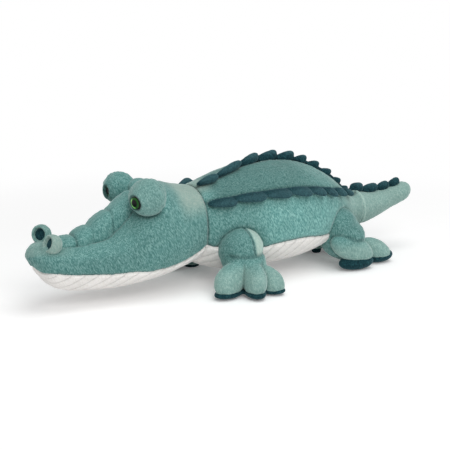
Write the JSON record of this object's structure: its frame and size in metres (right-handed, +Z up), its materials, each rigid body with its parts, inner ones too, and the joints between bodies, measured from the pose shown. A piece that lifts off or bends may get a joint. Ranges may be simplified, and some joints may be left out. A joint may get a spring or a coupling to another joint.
{
  "type": "plush crocodile",
  "caption": "Stuffed plush crocodile on soled feet, with a long snout, padded back scutes, a ribbed cream underside and a turning head, tail and legs.",
  "frame": {"origin": "on the floor under the middle of the toy's length and width", "axes": "nose towards -X, the toy's left side towards -Y, +Z up"},
  "size_m": [0.4214, 0.151, 0.117],
  "materials": {
    "teal_plush": "short soft plush pile",
    "dark_velour": "padded velour",
    "cream_plush": "ribbed short plush",
    "eye_plastic": "polished, green iris under clear plastic",
    "washer_plastic": "as moulded"
  },
  "bodies": {
    "torso": {"torso": "teal_plush", "belly_panel": "cream_plush", "scute_row_left": "dark_velour", "scute_row_middle": "dark_velour", "scute_row_right": "dark_velour"},
    "head": {"head": "teal_plush", "jaw_panel": "cream_plush", "snout_ridge": "teal_plush", "eye_dome_left": "teal_plush", "eye_dome_right": "teal_plush", "eye_left": "eye_plastic", "eye_right": "eye_plastic", "eye_washer_left": "washer_plastic", "eye_washer_right": "washer_plastic", "nostril_left": "teal_plush", "nostril_right": "teal_plush", "nostril_lining_left": "dark_velour", "nostril_lining_right": "dark_velour"},
    "tail": {"tail": "teal_plush", "tail_scute_row": "dark_velour"},
    "leg_front_left": {"leg_front_left": "teal_plush", "sole_front_left": "dark_velour"},
    "leg_front_right": {"leg_front_right": "teal_plush", "sole_front_right": "dark_velour"},
    "leg_hind_left": {"leg_hind_left": "teal_plush", "sole_hind_left": "dark_velour"},
    "leg_hind_right": {"leg_hind_right": "teal_plush", "sole_hind_right": "dark_velour"}
  },
  "joints": [
    {"name": "neck_turn", "type": "hinge", "parent": "torso", "child": "head", "pos_m": [-0.05065, 0, 0.058], "axis": [0, 0, 1], "range_deg": [-12, 12], "stiffness_Nm_per_rad": 1},
    {"name": "tail_swing", "type": "hinge", "parent": "torso", "child": "tail", "pos_m": [0.13515, 0, 0.0495], "axis": [0, 0, 1], "range_deg": [-15, 15], "stiffness_Nm_per_rad": 0.4},
    {"name": "hip_front_left", "type": "hinge", "parent": "torso", "child": "leg_front_left", "pos_m": [-0.02305, -0.03765, 0.041], "axis": [0, 1, 0], "range_deg": [-15, 15], "stiffness_Nm_per_rad": 1},
    {"name": "hip_front_right", "type": "hinge", "parent": "torso", "child": "leg_front_right", "pos_m": [-0.02305, 0.03765, 0.041], "axis": [0, 1, 0], "range_deg": [-15, 15], "stiffness_Nm_per_rad": 1},
    {"name": "hip_hind_left", "type": "hinge", "parent": "torso", "child": "leg_hind_left", "pos_m": [0.10225, -0.02731, 0.0375], "axis": [0, 1, 0], "range_deg": [-15, 15], "stiffness_Nm_per_rad": 1},
    {"name": "hip_hind_right", "type": "hinge", "parent": "torso", "child": "leg_hind_right", "pos_m": [0.10225, 0.02731, 0.0375], "axis": [0, 1, 0], "range_deg": [-15, 15], "stiffness_Nm_per_rad": 1}
  ]
}
